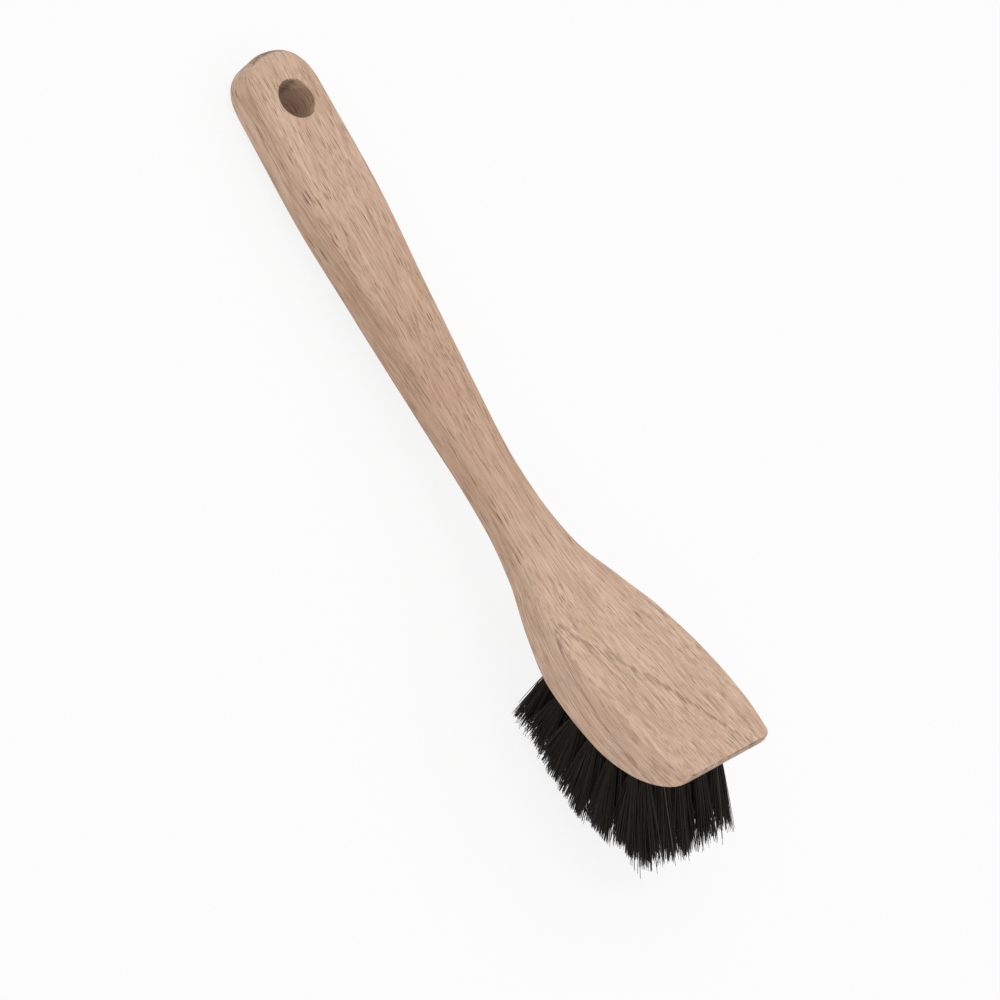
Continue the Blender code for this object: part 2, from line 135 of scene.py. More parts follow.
# Finer steps than the part's
END_STEPS = 28
SIDE_STEPS = 250
CORNER_STEPS = 12
EDGE_STEPS = 10
PATH_STEPS = 1200
SUPPORTS = (0.0012, 0.0012, 0.0012, 0.0002)       # strip beside each rounded edge that keeps the flats flat
OVERRUN = 0.0012
RIM = 0.0003                   # softened rim of the drilled holes
TUFT_HOLE_SIDES = 28
HANGING_HOLE_SIDES = 96
MERGE_DISTANCE = 1e-6
LEAST_EDGE = 1e-7
SHARP_ANGLE = math.radians(32)

LENGTH = HANDLE_LENGTH + HEAD_LENGTH
SWEEP_START = LENGTH - TOE_SWEEP
LAST_ROW = LENGTH - LAST_ROW_FROM_TOE
FIRST_ROW = LAST_ROW - (TUFT_ROWS - 1) * TUFT_ROW_PITCH
BUNDLE_RADIUS = TUFT_HOLE_RADIUS - FIT_GAP
ANCHOR_BOTTOM = TUFT_HOLE_DEPTH - FOLD_THICKNESS - 2 * FIT_GAP
ANCHOR_LENGTH = 2 * (TUFT_HOLE_RADIUS + ANCHOR_BITE)


def smooth_curve(places, values, at):
    """Piecewise cubic: between two points the value is a Hermite blend whose slope at each point is the
    harmonic mean of the two neighbouring slopes, so that it never overshoots."""
    x, y = np.array(places, float), np.array(values, float)
    step = np.diff(x)
    slope = np.diff(y) / step
    tangent = np.concatenate([slope[:1], np.zeros(len(x) - 2), slope[-1:]])
    same_way = slope[:-1] * slope[1:] > 0
    mean = 2 * slope[:-1] * slope[1:] / np.where(same_way, slope[:-1] + slope[1:], 1)
    tangent[1:-1] = np.where(same_way, mean, 0)
    i = np.clip(np.searchsorted(x, at) - 1, 0, len(step) - 1)
    u = (np.clip(at, x[0], x[-1]) - x[i]) / step[i]
    start, end = (1 + 2 * u) * (1 - u) ** 2, u * u * (3 - 2 * u)
    rise, fall = u * (1 - u) ** 2, u * u * (u - 1)
    return start * y[i] + end * y[i + 1] + step[i] * (rise * tangent[i] + fall * tangent[i + 1])


def table(*parts):
    """Joins (place shares, stretch start, stretch length, value shares, low, high) into places and values."""
    places, values = [], []
    for place_shares, start, length, value_shares, low, high in parts:
        places += [start + share * length for share in place_shares]
        values += [low + share * (high - low) for share in value_shares]
    return places, values


WIDTH_TABLE = table(
    (WIDTH_PLACE_SHARES, 0, HANDLE_LENGTH, WIDTH_SHARES, NECK_WIDTH, HANDLE_WIDTH),
    (HEAD_PLACE_SHARES, HANDLE_LENGTH, HEAD_LENGTH, HEAD_WIDTH_SHARES, NECK_WIDTH, HEAD_WIDTH),
    (TOE_PLACE_SHARES, HANDLE_LENGTH, HEAD_LENGTH, TOE_WIDTH_SHARES, TOE_WIDTH, HEAD_WIDTH),
)
DEPTH_TABLE = table(
    (GRIP_DEPTH_PLACE_SHARES, 0, HANDLE_LENGTH, GRIP_DEPTH_SHARES, NECK_THICKNESS, HANDLE_THICKNESS),
    (HEAD_DEPTH_PLACE_SHARES, HANDLE_LENGTH, HEAD_LENGTH, HEAD_DEPTH_SHARES, NECK_THICKNESS, HEAD_THICKNESS),
)


def half_width(place):
    """Half the width in plan, before the hanging end and the toe's corners are rounded."""
    return smooth_curve(*WIDTH_TABLE, place) / 2


def thickness(place):
    """Depth of the wood: the smooth table, then most of a quarter ellipse up to the toe."""
    body = smooth_curve(*DEPTH_TABLE, np.minimum(place, SWEEP_START))
    swept = SWEEP_SHARE * np.clip((place - SWEEP_START) / TOE_SWEEP, 0, 1)
    left = math.sqrt(1 - SWEEP_SHARE**2)
    return TOE_THICKNESS + (body - TOE_THICKNESS) * (np.sqrt(1 - swept**2) - left) / (1 - left)


def top_line():
    """The top line's X and Z are the running sums of the cosine and sine of its slope, which eases from the
    handle's pitch to nought along the bend."""
    places = np.linspace(0, LENGTH, PATH_STEPS)
    u = np.clip((places - BEND_START) / BEND_LENGTH, 0, 1)
    slope = HANDLE_PITCH * (1 - u * u * (3 - 2 * u))
    middle = (slope[1:] + slope[:-1]) / 2
    x = np.concatenate([[0], np.cumsum(np.cos(middle) * np.diff(places))])
    z = np.concatenate([[0], np.cumsum(-np.sin(middle) * np.diff(places))])
    return places, x - x[-1], z - z[-1], slope


TOP_LINE = top_line()


def in_head(place, across, depth):
    """Points at a place along the top line, a distance across it and a depth square to it."""
    places, line_x, line_z, line_slope = TOP_LINE
    slope = np.interp(place, places, line_slope)
    x = np.interp(place, places, line_x) - np.sin(slope) * depth
    z = np.interp(place, places, line_z) - np.cos(slope) * depth
    return np.stack([x, across + 0 * x, z], axis=-1)


def head_pose():
    """Turn and origin of the head's frame: the head_top mount's normal is its Z, and the mount's point lies
    at a known place on the top line."""
    mount = next(m for m in frame["record"]["mounts"] if m["name"] == "head_top")
    up = np.array(mount["axis"], float)
    up /= np.linalg.norm(up)
    side = np.array([0.0, 1.0, 0.0])
    turn = np.column_stack([np.cross(side, up), side, up])
    return turn, np.array(mount["pos_m"]) - turn @ [HEAD_TOP_PLACE - LENGTH, 0, 0]


HEAD_TURN, HEAD_ORIGIN = head_pose()


def to_world(points):
    """Points of the head's frame in the world."""
    return points @ HEAD_TURN.T + HEAD_ORIGIN


def new_object(name, data):
    """An object at the origin of the scene."""
    found = bpy.data.objects.new(name, data)
    bpy.context.scene.collection.objects.link(found)
    return found


def new_piece(name, points, faces):
    """An object whose mesh has the points and faces."""
    mesh = bpy.data.meshes.new(name)
    mesh.from_pydata(points.reshape(-1, 3).tolist(), [], faces)
    return new_object(name, mesh)


def clean(mesh):
    """Merges doubled points and points every face outwards."""
    bm = bmesh.new()
    bm.from_mesh(mesh)
    bmesh.ops.remove_doubles(bm, verts=bm.verts, dist=MERGE_DISTANCE)
    bmesh.ops.dissolve_degenerate(bm, edges=bm.edges, dist=LEAST_EDGE)
    bmesh.ops.recalc_face_normals(bm, faces=bm.faces)
    bm.to_mesh(mesh)
    bm.free()


def grid_faces(rows, columns, ring):
    """Quads of a grid, closed round its columns where ring is true."""
    i, k = np.meshgrid(np.arange(rows - 1), np.arange(columns if ring else columns - 1), indexing="ij")
    after = (k + 1) % columns
    corners = (i * columns + k, i * columns + after, (i + 1) * columns + after, (i + 1) * columns + k)
    return np.stack(corners, axis=-1).reshape(-1, 4).tolist()


def half_outline():
    """Plan outline of one side: a superellipse round the hanging end, the width table, an arc tangent to the
    side at the toe's corner, and the toe's straight edge."""
    a = np.linspace(0, math.pi / 2, END_STEPS + 1)
    end_place = END_ROUND * (1 - np.cos(a) ** (2 / END_SQUARENESS))
    end_across = half_width(END_ROUND) * np.sin(a) ** (2 / END_SQUARENESS)
    before = LENGTH - TOE_CORNER
    taper = math.atan2(half_width(before - TOE_CORNER) - half_width(before), TOE_CORNER)
    corner_start = before + TOE_CORNER * math.sin(taper)
    corner_middle = half_width(corner_start) - TOE_CORNER * math.cos(taper)
    side_place = np.linspace(END_ROUND, corner_start, SIDE_STEPS + 1)[1:-1]
    b = np.linspace(taper, math.pi / 2, CORNER_STEPS + 1)
    place = np.concatenate([end_place, side_place, before + TOE_CORNER * np.sin(b), [LENGTH]])
    across = [end_across, half_width(side_place), corner_middle + TOE_CORNER * np.cos(b), [0]]
    across = np.concatenate(across)
    across[0] = 0
    return place, across


def wood_points():
    """Rows follow the plan outline; each row runs from the top's middle over a quarter-circle edge, down the
    side, round the lower edge to the bottom's middle, and back up the mirrored side."""
    place, across = half_outline()
    out = np.stack([-np.gradient(across), np.gradient(place)], axis=1)
    out[0], out[-1] = (-1, 0), (1, 0)
    out /= np.linalg.norm(out, axis=1)[:, None]
    knots = (BEND_START, BEND_START + BEND_LENGTH, SWEEP_START, LENGTH)
    top, bottom = np.interp(place, knots, TOP_RADII), np.interp(place, knots, BOTTOM_RADII)
    turns = np.linspace(0, math.pi / 2, EDGE_STEPS + 1)
    upper = [(top * (1 - math.sin(a)), top * (1 - math.cos(a)), False, 1) for a in turns]
    lower = [(bottom * (1 - math.cos(a)), bottom * (1 - math.sin(a)), True, 1) for a in turns]
    strip = np.interp(place, knots, SUPPORTS)
    first, last = (top + strip, 0 * top, False, 1), (bottom + strip, 0 * bottom, True, 1)
    columns = [(*first[:3], 0), first, *upper, *lower, last, (*last[:3], 0)]
    grid = []
    for inward, depth, from_below, spread in columns:
        s = place - out[:, 0] * inward
        y = np.maximum(across - out[:, 1] * inward, 0) * spread
        y[0] = y[-1] = 0
        grid.append(in_head(s, y, thickness(s) - depth if from_below else depth))
    half = np.stack(grid, axis=1)
    return np.concatenate([half, half[:, -2:0:-1] * (1, -1, 1)], axis=1)


def lathe(radii, heights, sides):
    """Points and faces of a turned shape: a circle of each radius at each height, with both ends closed."""
    a = np.linspace(0, 2 * math.pi, sides, endpoint=False)
    ring = np.stack([np.cos(a), np.sin(a), 0 * a], axis=-1)
    points = np.array(radii)[:, None, None] * ring
    points[..., 2] = np.array(heights)[:, None]
    faces = grid_faces(len(radii), sides, True)
    faces.append(list(range(sides))[::-1])
    faces.append(list(range((len(radii) - 1) * sides, len(radii) * sides)))
    return points.reshape(-1, 3), faces


def tuft_places():
    """Mouth and axes of each tuft in the head's frame: rows across the head lean ever more towards the toe,
    and the outer tufts of a row splay to their side. The third axis runs along the hair, out of the wood."""
    mouths, axes, rows = [], [], []
    for row, place in enumerate(FIRST_ROW + TUFT_ROW_PITCH * np.arange(TUFT_ROWS)):
        reach = half_width(place) - TUFT_EDGE_INSET
        lean = TOE_LEAN * ((place - FIRST_ROW) / (LAST_ROW - FIRST_ROW)) ** LEAN_POWER
        for across in np.linspace(-reach, reach, 1 + int(2 * reach / TUFT_CROSS_PITCH)):
            along = np.array([math.tan(lean), math.tan(SIDE_SPLAY * across / reach), -1])
            along /= np.linalg.norm(along)
            side = np.cross(along, (1, 0, 0))
            side /= np.linalg.norm(side)
            mouths.append(in_head(place, across, thickness(place)))
            axes.append(np.column_stack([np.cross(side, along), side, along]))
            rows.append(row)
    return np.array(mouths), np.array(axes), np.array(rows)


MOUTHS, AXES, ROWS = tuft_places()


def tip_spreads():
    """How far each tuft's tips spread towards the heel, towards the toe and sideways. Along the head it is a
    share of the spacing that the rows have at their tips, and less where a row has no neighbour."""
    tips = MOUTHS + AXES[:, :, 2] * TIP_DEPTHS[0] / 2
    along = ROW_SPREAD * np.gradient([tips[ROWS == row, 0].mean() for row in range(TUFT_ROWS)])
    heelward, toeward = along.copy(), along.copy()
    heelward[0] *= FIRST_ROW_SHARE
    toeward[-1] *= LAST_ROW_SHARE
    return np.column_stack([heelward, toeward, np.full(TUFT_ROWS, CROSS_SPREAD)])[ROWS]


def many(points, faces, mouths, axes):
    """Copies of one shape, each turned by its axes and set at its mouth, as one list of points and faces."""
    placed = points @ axes.transpose(0, 2, 1) + mouths[:, None]
    faces = [[corner + i * len(points) for corner in face] for i in range(len(mouths)) for face in faces]
    return to_world(placed.reshape(-1, 3)), faces


def blind_holes():
    """One cutter for all the tuft holes: a cylinder whose mouth flares by the rim."""
    radius, depth = TUFT_HOLE_RADIUS, TUFT_HOLE_DEPTH
    radii = (radius, radius, radius + RIM, radius + RIM + OVERRUN)
    shape = lathe(radii, (-depth, -RIM, 0, OVERRUN), TUFT_HOLE_SIDES)
    return new_piece("blind_holes", *many(*shape, MOUTHS, AXES))


def wire_turned(points):
    """Turns a tuft's points with its slanted wire."""
    c, s = math.cos(ANCHOR_TURN), math.sin(ANCHOR_TURN)
    return points @ np.array([[c, s, 0], [-s, c, 0], [0, 0, 1]])


def wire_slots():
    """One cutter for the slots that the wires' ends sit in: boxes turned across the grain."""
    half = np.array([ANCHOR_LENGTH, ANCHOR_THICKNESS, ANCHOR_HEIGHT]) / 2 + FIT_GAP
    corners = np.array([(x, y, z) for x in (-1, 1) for y in (-1, 1) for z in (-1, 1)]) * half
    corners = wire_turned(corners)
    corners[:, 2] += ANCHOR_HEIGHT / 2 - ANCHOR_BOTTOM
    faces = [[0, 1, 3, 2], [4, 6, 7, 5], [0, 4, 5, 1], [2, 3, 7, 6], [0, 2, 6, 4], [1, 5, 7, 3]]
    return new_piece("wire_slots", *many(corners, faces, MOUTHS, AXES))


def hanging_hole():
    """Cutter square to the handle's top: a cylinder that flares by the rim at both faces of the wood."""
    depth = float(thickness(HOLE_PLACE))
    flare = HOLE_RADIUS + RIM
    radii = (flare + OVERRUN, flare, HOLE_RADIUS, HOLE_RADIUS, flare, flare + OVERRUN)
    heights = (-depth - OVERRUN, -depth, -depth + RIM, -RIM, 0, OVERRUN)
    c, s = math.cos(HANDLE_PITCH), math.sin(HANDLE_PITCH)
    turn = np.array([[[c, 0, s], [0, 1, 0], [-s, 0, c]]])
    shape = lathe(radii, heights, HANGING_HOLE_SIDES)
    return new_piece("hanging_hole", *many(*shape, in_head(HOLE_PLACE, 0, 0)[None], turn))


def cut(piece, cutters):
    """Takes the cutters' shapes out of the piece and leaves one plain mesh."""
    for cutter in cutters:
        clean(cutter.data)
        boolean = piece.modifiers.new(cutter.name, "BOOLEAN")
        boolean.operation = "DIFFERENCE"
        boolean.solver = "EXACT"
        boolean.object = cutter
    graph = bpy.context.evaluated_depsgraph_get()
    finished = bpy.data.meshes.new_from_object(piece.evaluated_get(graph))
    piece.modifiers.clear()
    piece.data = finished
    for cutter in cutters:
        bpy.data.objects.remove(cutter)


def add_fibre_run(mesh):
    """Keeps at each point where it lies among the fibres: along the grain, across it and up, counted from the
    toe's top. The fibres follow the bend of the top line and the flare of the outline by a share each, so
    that they surface at a low angle all along."""
    points = np.empty(3 * len(mesh.vertices))
    mesh.vertices.foreach_get("co", points)
    points = (points.reshape(-1, 3) - HEAD_ORIGIN) @ HEAD_TURN
    widest = WIDTH_TABLE[0][np.argmax(WIDTH_TABLE[1])]
    flare = half_width(np.clip(points[:, 0] + LENGTH, 0, widest)) / HEAD_WIDTH * 2
    points[:, 1] /= 1 + FLARE_FOLLOW * (flare - 1)
    c, s = math.cos(GRAIN_PITCH), math.sin(GRAIN_PITCH)
    along, up = points[:, 0] * c - points[:, 2] * s, points[:, 0] * s + points[:, 2] * c
    line_along, line_up = TOP_LINE[1] * c - TOP_LINE[2] * s, TOP_LINE[1] * s + TOP_LINE[2] * c
    up -= FIBRE_FOLLOW * np.interp(along, line_along, line_up)
    run = np.column_stack([along, points[:, 1], up])
    mesh.attributes.new("fibre_run", "FLOAT_VECTOR", "POINT").data.foreach_set("vector", run.ravel())


def wood_body():
    """Handle and head in one piece of wood, with all its holes."""
    points = wood_points()
    wood = new_piece("beech_body", to_world(points), grid_faces(*points.shape[:2], True))
    clean(wood.data)
    cut(wood, [hanging_hole(), blind_holes(), wire_slots()])
    add_fibre_run(wood.data)
    wood.data.shade_smooth()
    wood.data.set_sharp_from_angle(angle=SHARP_ANGLE)
    return wood


def in_disc(count, radius, rng):
    """Points spread over a disc: the square root of a random share gives each radius its due."""
    a = rng.uniform(0, 2 * math.pi, count)
    r = radius * np.sqrt(rng.uniform(0, 1, count))
    return np.stack([r * np.cos(a), r * np.sin(a)], axis=-1)


def hair_ends(roots, mouth, axes, spread, rng):
    """Tips for hairs that leave a tuft's mouth at the roots: the round bundle opens to a square one, and its
    hairs draw together into a few locks. A hair reaches the trimmed surface, whose depth is a smooth curve of
    the place along the head, give or take a length of its lock's and its own."""
    squared = roots * (np.linalg.norm(roots, axis=1) / np.abs(roots).max(axis=1))[:, None] / BUNDLE_RADIUS
    along = squared[:, 0] * np.where(squared[:, 0] < 0, *spread[:2])
    fanned = np.column_stack([along, squared[:, 1] * spread[2]])
    locks = rng.uniform(-1, 1, (LOCKS, 2)) * spread[1:]
    nearest = np.argmin(np.linalg.norm(fanned[:, None] - locks[None], axis=-1), axis=1)
    tips = fanned + (locks[nearest] - fanned) * rng.uniform(0, LOCK_PULL, (len(roots), 1))
    tips += rng.normal(0, TIP_STRAY, tips.shape)
    length = np.full(len(roots), TIP_DEPTHS[0] - HEAD_THICKNESS)
    for _ in range(TRIM_PASSES):
        ends = np.column_stack([tips, length]) @ axes.T + mouth
        over = np.maximum(np.abs(ends[:, 1]) - FREE_ACROSS, 0)
        drawn = FREE_MARGIN * np.tanh(over / FREE_MARGIN) - over
        tips[:, 1] += np.sign(ends[:, 1]) * drawn / axes[1, 1]
        depth = smooth_curve(TIP_PLACES, TIP_DEPTHS, ends[:, 0] + LENGTH)
        side = np.clip(-2 * ends[:, 1] / HEAD_WIDTH, 0, 1)
        toe = side * np.clip((ends[:, 0] - CORNER_FROM) / CORNER_OVER, 0, 1)
        heel = side * np.clip((HEEL_CORNER_FROM - ends[:, 0]) / CORNER_OVER, 0, 1)
        worn = NEAR_WEAR * side + NEAR_CORNER * toe + HEEL_CORNER * heel
        length += (depth - worn + ends[:, 2]) / -axes[2, 2]
    length += rng.normal(0, LOCK_RAGGED, LOCKS)[nearest] - np.abs(rng.normal(0, HAIR_RAGGED, len(roots)))
    return tips, length


ARM = np.array([1, 0.82, 0.62, 0.4, 0.2, 0.0])     # shares of the length at an arm's points, from the tip in
FOLD = np.linspace(0, math.pi, 5)                  # angles of the points in the fold


def tuft_hair(name, mouth, axes, spread, rng):
    """One tuft. Each hair is a path from one tip down into the hole, round under the wire in half an ellipse
    and out again to its other tip; a triangle carried along the path, thinner at the tips, is its skin."""
    count = HAIR_PAIRS
    cross = in_disc(count, BUNDLE_RADIUS * ROOT_SHARE, rng)
    least = ANCHOR_THICKNESS / 2 + WIRE_CLEARANCE
    cross[:, 1] = np.abs(cross[:, 1])
    cross[:, 1] = least + cross[:, 1] * (1 - least / BUNDLE_RADIUS)
    roots = np.concatenate([cross, cross * (1, -1)])
    roots = wire_turned(np.concatenate([roots, np.zeros((2 * count, 1))], axis=1))[:, :2]
    tips, length = hair_ends(roots, mouth, axes, spread, rng)
    bend = rng.normal(0, KINK, roots.shape)
    s = ARM[None, :, None]
    lateral = roots[:, None] + (tips - roots)[:, None] * s**FLARE + bend[:, None] * s * (1 - s)
    arms = np.concatenate([lateral, s * length[:, None, None]], axis=-1)
    sunk = np.concatenate([cross, np.full((count, 1), ANCHOR_HEIGHT - ANCHOR_BOTTOM)], axis=1)
    reach = FIT_GAP + (FOLD_THICKNESS - FIT_GAP) * cross[:, 1] / BUNDLE_RADIUS
    fold = np.stack([
        np.repeat(cross[:, :1], len(FOLD), axis=1),
        cross[:, 1:] * np.cos(FOLD),
        -ANCHOR_BOTTOM - reach[:, None] * np.sin(FOLD),
    ], axis=-1)
    held = wire_turned(np.concatenate([sunk[:, None], fold, (sunk * (1, -1, 1))[:, None]], axis=1))
    path = np.concatenate([arms[:count], held, arms[count:, ::-1]], axis=1)
    return skin(name, path, mouth, axes, rng)


def skin(name, path, mouth, axes, rng):
    """Skins all the paths: at each point, three corners on a circle square to the path's direction. No hair
    sinks into the table."""
    world = to_world(path @ axes.T + mouth)
    world[..., 2] = np.maximum(world[..., 2], HAIR_RADIUS)
    hairs, steps = world.shape[:2]
    ahead = np.gradient(world, axis=1)
    ahead /= np.linalg.norm(ahead, axis=-1, keepdims=True)
    wire = to_world((wire_turned(np.array([[1.0, 0, 0]])) @ axes.T)) - HEAD_ORIGIN
    one = np.cross(ahead, wire[0])
    one /= np.linalg.norm(one, axis=-1, keepdims=True)
    other = np.cross(ahead, one)
    thick = np.full(steps, HAIR_RADIUS)
    thick[[0, -1]] = HAIR_TIP_RADIUS
    a = rng.uniform(0, 2 * math.pi, hairs)[:, None] + np.arange(3) * 2 * math.pi / 3
    around = one[:, :, None] * np.cos(a)[:, None, :, None] + other[:, :, None] * np.sin(a)[:, None, :, None]
    points = world[:, :, None] + around * thick[None, :, None, None]
    quads = np.array(grid_faces(steps, 3, True))
    caps = np.array([[2, 1, 0], [steps * 3 - 3, steps * 3 - 2, steps * 3 - 1]])
    shift = np.arange(hairs)[:, None, None] * steps * 3
    faces = (quads + shift).reshape(-1, 4).tolist() + (caps + shift).reshape(-1, 3).tolist()
    tuft = new_piece(name, points, faces)
    shade = np.repeat(rng.uniform(0, 1, hairs), steps * 3)
    tuft.data.attributes.new("shade", "FLOAT", "POINT").data.foreach_set("value", shade)
    tuft.data.shade_smooth()
    return tuft


def put(tree, kind, values=None, **settings):
    """Adds a node to a material's tree. Each value is a number, a colour or another node's socket."""
    made = tree.nodes.new("ShaderNode" + kind)
    for name, setting in settings.items():
        setattr(made, name, setting)
    for key, value in (values or {}).items():
        if isinstance(value, bpy.types.NodeSocket):
            tree.links.new(value, made.inputs[key])
        else:
            made.inputs[key].default_value = value
    return made


def sums(tree, operation, *values):
    """A Math node's result."""
    return put(tree, "Math", dict(enumerate(values)), operation=operation).outputs[0]


def product(tree, first, second):
    """Two numbers multiplied."""
    return sums(tree, "MULTIPLY", first, second)


def between(tree, share, first, second):
    """The mix of two numbers."""
    return put(tree, "Mix", {0: share, 2: first, 3: second}).outputs[0]


def blend(tree, share, first, second):
    """The mix of two colours."""
    return put(tree, "Mix", {0: share, 6: first, 7: second}, data_type="RGBA").outputs[2]


def ramp(tree, value, low, high, start=0.0, end=1.0):
    """A smooth step of a value between low and high."""
    values = {"Value": value, "From Min": low, "From Max": high, "To Min": start, "To Max": end}
    return put(tree, "MapRange", values, interpolation_type="SMOOTHSTEP").outputs[0]


def scaled(tree, vector, size):
    """A vector divided by a size along each axis, so that a pattern repeats about once in each size."""
    values = {0: vector, 1: tuple(1 / length for length in size)}
    return put(tree, "VectorMath", values, operation="MULTIPLY").outputs[0]


def noise(tree, vector, size, detail=2.0):
    """Noise whose lumps are about as long as the size along each axis."""
    values = {"Vector": scaled(tree, vector, size), "Scale": 1.0, "Detail": detail}
    return put(tree, "TexNoise", values).outputs["Fac"]


def new_finish(name, roughness=0.5, metallic=0.0):
    """A material with its tree and shader. A roughness that is a pattern is linked later."""
    material = bpy.data.materials.new(name)
    material.use_nodes = True
    shader = material.node_tree.nodes["Principled BSDF"]
    shader.inputs["Roughness"].default_value = roughness
    shader.inputs["Metallic"].default_value = metallic
    return material, material.node_tree, shader


# Beech: the grain's slope lies between the handle's and the head's, and the pith above and beside the blank
GRAIN_PITCH = math.radians(12)           # by which the grain falls from the head's top, towards the toe
GRAIN_TURN = math.atan2(HEAD_TURN[2, 0], HEAD_TURN[0, 0]) - GRAIN_PITCH      # its rise from the level
PITH_ACROSS = -0.0526
PITH_ABOVE = 0.0997
RING_WIDTH = 0.0031
DARK_RING = 0.1172             # radius of the one ring that shows plainly
FIBRE_FOLLOW = 0.4             # share of the top line's bend that the fibres follow
FLARE_FOLLOW = 0.6             # share of the outline's flare towards the head that they follow
BEECH = (0.550, 0.372, 0.262, 1)
BEECH_LIGHT = (0.63, 0.445, 0.330, 1)
BEECH_DARK = (0.40, 0.250, 0.160, 1)
BEECH_PINK = (0.54, 0.330, 0.230, 1)
BEECH_PALE = (0.69, 0.505, 0.385, 1)
NECK_PAINTED_SHADE = (0.87, 0.805, 0.755, 1)        # painted shade on the wood between grip and head, against the head's: it stands in for the shade on the rounder top there
# the end grain's own dark colour, which also serves as painted shade on the wood's narrow ends
END_GRAIN_AND_SHADE = (0.14, 0.080, 0.048, 1)
FLECK = (0.09, 0.045, 0.024, 1)
WOOD_ROUGHNESS = (0.3, 0.7, 0.70, 0.56)    # a ramp over the fibres
GRAIN_RELIEF = 0.0002
RELIEF_STRENGTH = 0.35
FIBRE_RELIEF = 0.6             # height of the fibres, as a share of the rays' depth

# Sizes of the wood's patterns: along the grain, across it and up. Pairs are for wood cut from above and from
# the side.
WANDER_SIZE, WANDER_REACH = (0.050, 0.012, 0.012), (0, 0.004, 0.004)
DRIFT_SIZE, DRIFT_REACH = (0.060, 0.016, 0.016), 0.0030
FINGER_SIZE, FINGER_REACH = (0.0070, 0.0010, 0.0012), 0.0020
PATCH_SIZE = (0.050, 0.0050, 0.0050)
BLUSH_SIZE = (0.030, 0.0036, 0.0036)
STREAK_SIZE = (0.024, 0.0010, 0.0014)
CROWD_SIZE = (0.020, 0.0050, 0.0050)
TORN_SIZE = (0.0022, 0.0022, 0.0022)
FIBRE_SIZES = (0.010, 0.00029, 0.0006), (0.010, 0.0040, 0.00030)
RAY_SIZES = (0.0150, 0.00060, 0.0010), (0.0130, 0.0040, 0.00060)
PORE_SIZES = (0.0075, 0.00048, 0.0007), (0.0070, 0.0030, 0.00048)

# Ramps of these patterns: the two values between which a colour comes in, then its share at either
PATCH_RAMP = (0.35, 0.68)
BLUSH_RAMP = (0.48, 0.72, 0.0, 0.6)
STREAK_RAMP = (0.53, 0.27, 0.0, 0.80)
DARK_FIBRE_RAMP = (0.50, 0.29, 0.0, 0.90)
PALE_FIBRE_RAMP = (0.51, 0.70, 0.0, 0.80)
LATE_RAMP, LATE_END_RAMP = (0.35, 0.93), (1.0, 0.95)       # within a ring
RING_STRENGTH_RAMP = (0.0, 1.0, 0.0, 0.26)
DASH_RAMP = (0.66, 0.38, 0.18, 0.65)
SPINDLE_RAMP, SPINDLE_STRENGTH_RAMP = (0.25, 0.17), (0.1, 0.6)
CROWD_RAMP = (0.30, 0.60, 0.5, 1.0)
TORN_RAMP, TORN_FIBRE_RAMP = (0.34, 0.56, 0.35, 1.0), (0.68, 0.36, 0.55, 1)
DARK_RING_EDGE = (0.0006, 0.0002)          # metres off the dark ring's middle
PORE_SHARE = 0.55

# Ramps along the wood, in metres from the toe
DARK_RING_ALONG = (-0.110, -0.085)
CROWD_ALONG = (-0.04, -0.10, 0.6, 1)
# where the painted shade on the neck comes in and goes out again
NECK_SHADE_FROM, NECK_SHADE_TO = (-0.225, -0.140, 0.2, 1), (-0.072, -0.108)

# Ramps over how squarely the surface faces up, along the fibres, and along the world's Y and Z
FROM_ABOVE = (0.45, 0.75)
ACROSS_FIBRES, SAWN_FLAT = (0.36, 0.60), (0.97, 0.85, 0.6, 1)
NEAR_SIDE_RAMP, UNDERSIDE_RAMP = (-0.65, -0.35), (-0.65, -0.05, 0.4, 1.0)


def grain_frame(tree):
    """Object coordinates turned to the wood's own: X along the grain, and the pith's axis as the origin."""
    up = np.array([-math.sin(GRAIN_TURN), 0, math.cos(GRAIN_TURN)])
    place = (0, -PITH_ACROSS, -(PITH_ABOVE + HEAD_ORIGIN @ up))
    coordinates = put(tree, "TexCoord").outputs["Object"]
    values = {"Vector": coordinates, "Location": place, "Rotation": (0, GRAIN_TURN, 0)}
    return put(tree, "Mapping", values).outputs[0]


def fibre_run(tree):
    """Where a point lies among the fibres, with a slow wander across them."""
    run = put(tree, "Attribute", attribute_name="fibre_run").outputs["Vector"]
    values = {"Vector": scaled(tree, run, WANDER_SIZE), "Scale": 1.0, "Detail": 1.0}
    values = {0: put(tree, "TexNoise", values).outputs["Color"], 1: WANDER_REACH, 2: run}
    return put(tree, "VectorMath", values, operation="MULTIPLY_ADD").outputs[0]


def facing(tree, way):
    """How squarely the surface faces along a direction, or straight away from it."""
    values = {0: put(tree, "NewGeometry").outputs["Normal"], 1: tuple(way)}
    return sums(tree, "ABSOLUTE", put(tree, "VectorMath", values, operation="DOT_PRODUCT").outputs["Value"])


def sided(tree, run, above, sizes):
    """Noise of one size where the wood is cut from above, and of another where it is cut from the side."""
    from_above, from_side = [noise(tree, run, size) for size in sizes]
    return between(tree, above, from_side, from_above)


def spindles(tree, run, above, sizes):
    """Slim marks along the grain, of unlike strength: one round the middle of each of many long cells."""
    masks = []
    for size in sizes:
        cells = put(tree, "TexVoronoi", {"Vector": scaled(tree, run, size), "Scale": 1.0}).outputs
        strength = put(tree, "SeparateColor", {0: cells["Color"]}).outputs[0]
        mark = ramp(tree, cells["Distance"], *SPINDLE_RAMP)
        masks.append(product(tree, mark, ramp(tree, strength, *SPINDLE_STRENGTH_RAMP)))
    return between(tree, above, masks[1], masks[0])


